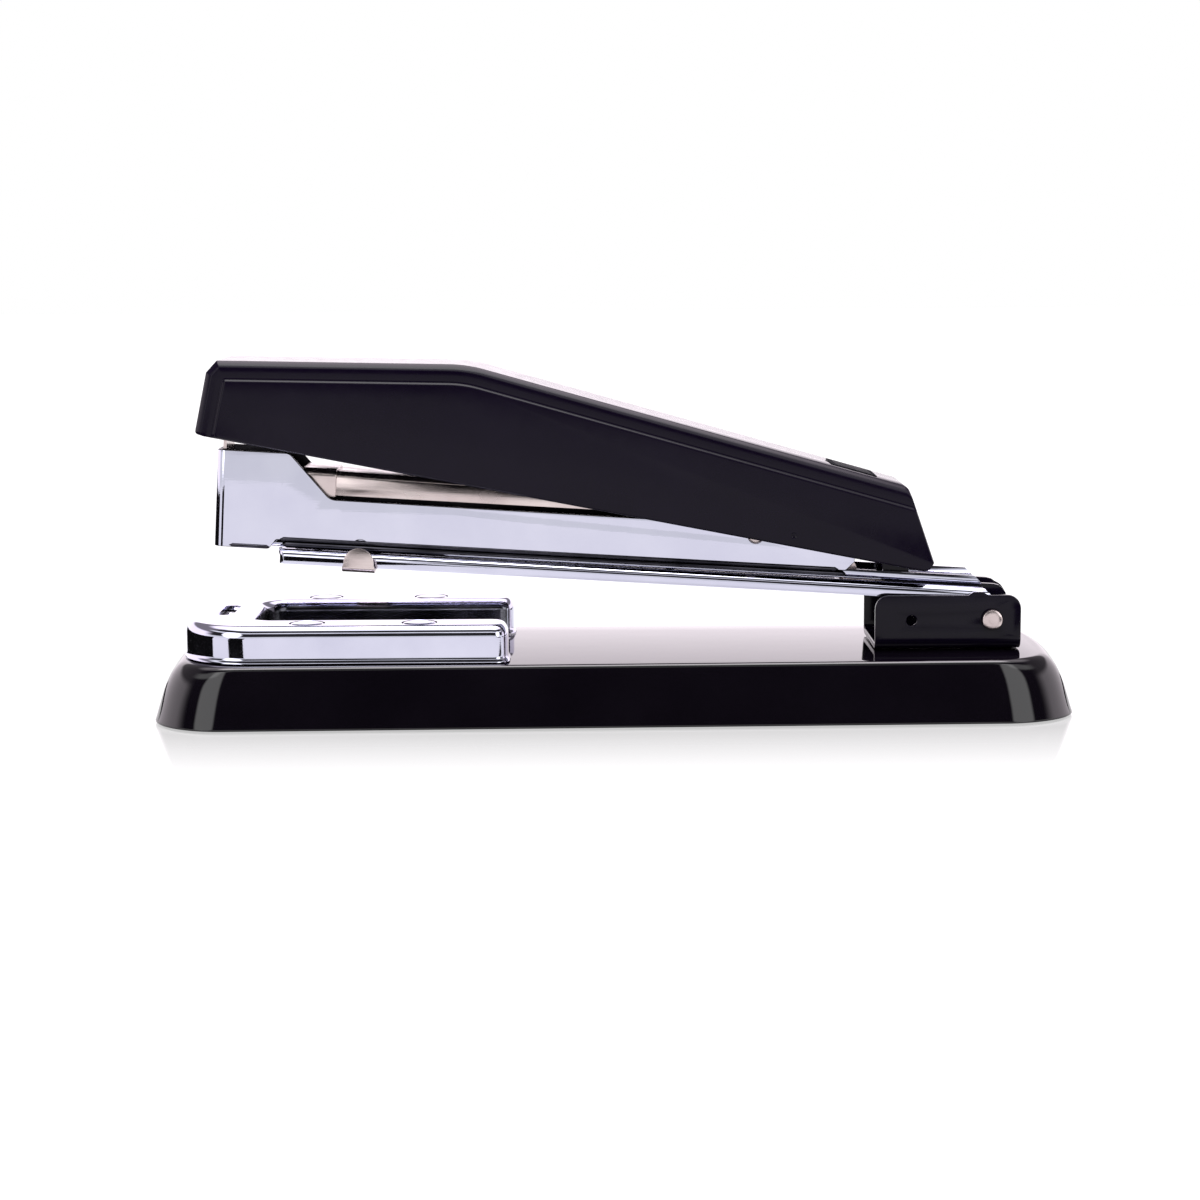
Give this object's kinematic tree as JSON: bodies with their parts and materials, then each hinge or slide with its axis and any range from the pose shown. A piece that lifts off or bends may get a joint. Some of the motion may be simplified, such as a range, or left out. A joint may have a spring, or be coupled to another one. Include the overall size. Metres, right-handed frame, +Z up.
{
  "type": "desk stapler",
  "caption": "Full-strip desk stapler with a flared base, horseshoe anvil frame, chrome sheath over a staple track, and a black press handle on one rear pin.",
  "frame": {"origin": "centre of the base on the surface it stands on", "axes": "+Z up, +X from the nose towards the rear hinge, +Y across the base"},
  "size_m": [0.2, 0.0634, 0.0772],
  "materials": {
    "black_enamel": "gloss",
    "handle_black": "semi-gloss",
    "black_steel": "semi-gloss",
    "bright_chrome": "polished",
    "warm_nickel": "satin",
    "plain_steel": "satin",
    "spring_steel": "satin",
    "staple_wire": "bright",
    "moulded_black": "matte",
    "sole_rubber": "matte",
    "blank_label": "satin"
  },
  "bodies": {
    "base": {"base_shell": "black_enamel", "sole_pad": "sole_rubber", "anvil_frame": "bright_chrome", "anvil_plate": "plain_steel", "anvil_rivet_1": "bright_chrome", "anvil_rivet_2": "bright_chrome", "anvil_rivet_3": "bright_chrome", "anvil_rivet_4": "bright_chrome", "rear_bracket": "black_steel", "bracket_rivet_1": "black_steel", "bracket_rivet_2": "black_steel", "pivot_pin": "warm_nickel", "pivot_bushing_near": "plain_steel", "pivot_bushing_far": "plain_steel", "return_spring": "spring_steel"},
    "arm": {"lower_arm": "bright_chrome", "arm_clip": "warm_nickel", "staple_track": "bright_chrome", "track_rivet_1": "plain_steel", "track_rivet_2": "plain_steel", "staple_guide": "plain_steel", "guide_rod": "plain_steel", "rear_stop": "plain_steel", "staple_strip": "staple_wire"},
    "pusher": {"pusher": "moulded_black", "pusher_spring": "spring_steel"},
    "sheath": {"sheath": "bright_chrome", "inner_channel": "warm_nickel", "sheath_hinge": "warm_nickel", "sheath_cross_rivet": "warm_nickel", "main_spring": "spring_steel", "spring_rivet": "plain_steel"},
    "handle": {"handle_cover": "handle_black", "handle_frame": "black_steel", "frame_rivet_1": "plain_steel", "frame_rivet_2": "plain_steel", "driver_retainer": "moulded_black", "blank_plate": "blank_label"},
    "driver": {"driver_blade": "warm_nickel"}
  },
  "joints": [
    {"name": "head_tilt", "type": "hinge", "parent": "base", "child": "arm", "pos_m": [0.0819, 0, 0.0202], "axis": [0, 1, 0], "range_deg": [-5, 0], "stiffness_Nm_per_rad": 3, "springref_deg": 14.32, "deforming": ["return_spring"]},
    {"name": "sheath_open", "type": "hinge", "parent": "arm", "child": "sheath", "pos_m": [0.0819, 0, 0.0202], "axis": [0, 1, 0], "range_deg": [0, 75]},
    {"name": "handle_press", "type": "hinge", "parent": "sheath", "child": "handle", "pos_m": [0.0819, 0, 0.0202], "axis": [0, 1, 0], "range_deg": [-3, 0], "stiffness_Nm_per_rad": 12, "springref_deg": 5.73, "deforming": ["main_spring"]},
    {"name": "driver_slide", "type": "slide", "parent": "sheath", "child": "driver", "axis": [0.0619, 0, 0.9981], "range_m": [-0.009, 0]},
    {"name": "pusher_slide", "type": "slide", "parent": "arm", "child": "pusher", "axis": [0.9981, 0, -0.0619], "range_m": [0, 0.04], "stiffness_N_per_m": 60, "springref_m": -0.03, "deforming": ["pusher_spring"]}
  ],
  "couplings": [
    {"joint": "driver_slide", "follows": "handle_press", "m_per_rad": 0.168}
  ]
}
